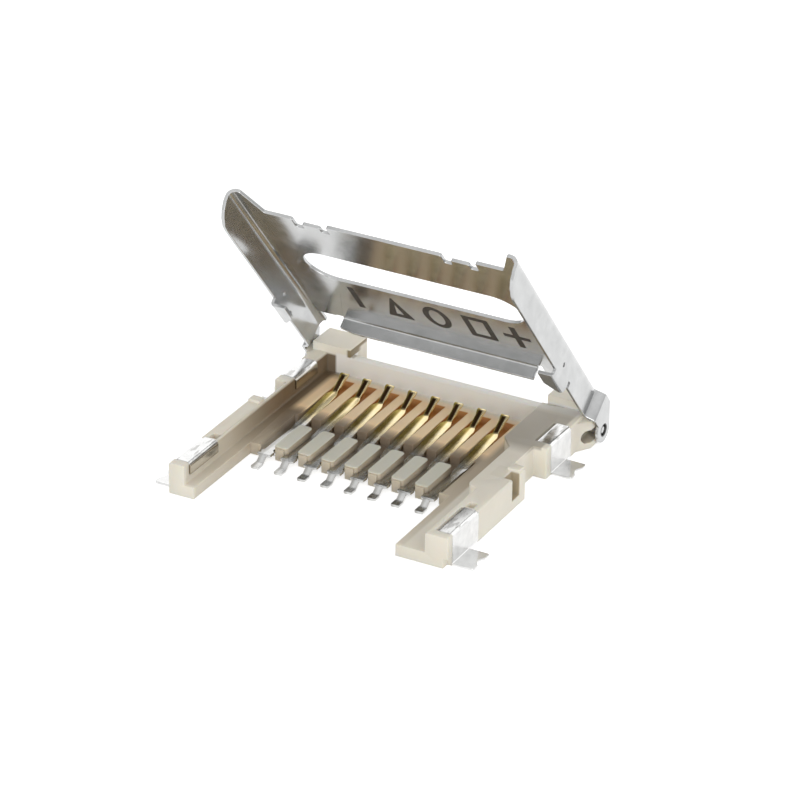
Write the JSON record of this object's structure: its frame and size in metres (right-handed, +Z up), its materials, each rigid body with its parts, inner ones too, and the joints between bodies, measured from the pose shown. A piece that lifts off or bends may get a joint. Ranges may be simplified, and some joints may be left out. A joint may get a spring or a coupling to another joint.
{
  "type": "memory card connector",
  "caption": "Surface-mount memory card socket with a hinged metal cover, sprung contacts and solder tabs, shown open.",
  "frame": {"origin": "on the board plane under the housing floor, midway between the outer side faces and 8 mm behind the front of the rails", "axes": "+X to the right along the row of contacts, +Y from the open front to the hinge, +Z up from the board"},
  "size_m": [0.0148, 0.0134, 0.0116],
  "materials": {
    "housing_resin": "moulded cream high-temperature resin, satin",
    "cover_steel": "bright rolled stainless sheet",
    "contact_metal": "copper alloy, gold plated spring and tinned tail",
    "tab_metal": "tinned"
  },
  "bodies": {
    "housing": {"housing": "housing_resin", "contact_1": "contact_metal", "contact_2": "contact_metal", "contact_3": "contact_metal", "contact_4": "contact_metal", "contact_5": "contact_metal", "contact_6": "contact_metal", "contact_7": "contact_metal", "contact_8": "contact_metal", "solder_tab_front_left": "tab_metal", "solder_tab_front_right": "tab_metal", "solder_tab_rear_left": "tab_metal", "solder_tab_rear_right": "tab_metal"},
    "cover": {"cover": "cover_steel"}
  },
  "joints": [
    {"name": "cover_hinge", "type": "hinge", "parent": "housing", "child": "cover", "pos_m": [0, 0.0048, 0.00057], "axis": [-1, 0, 0], "range_deg": [-50.3, 41.7]}
  ]
}
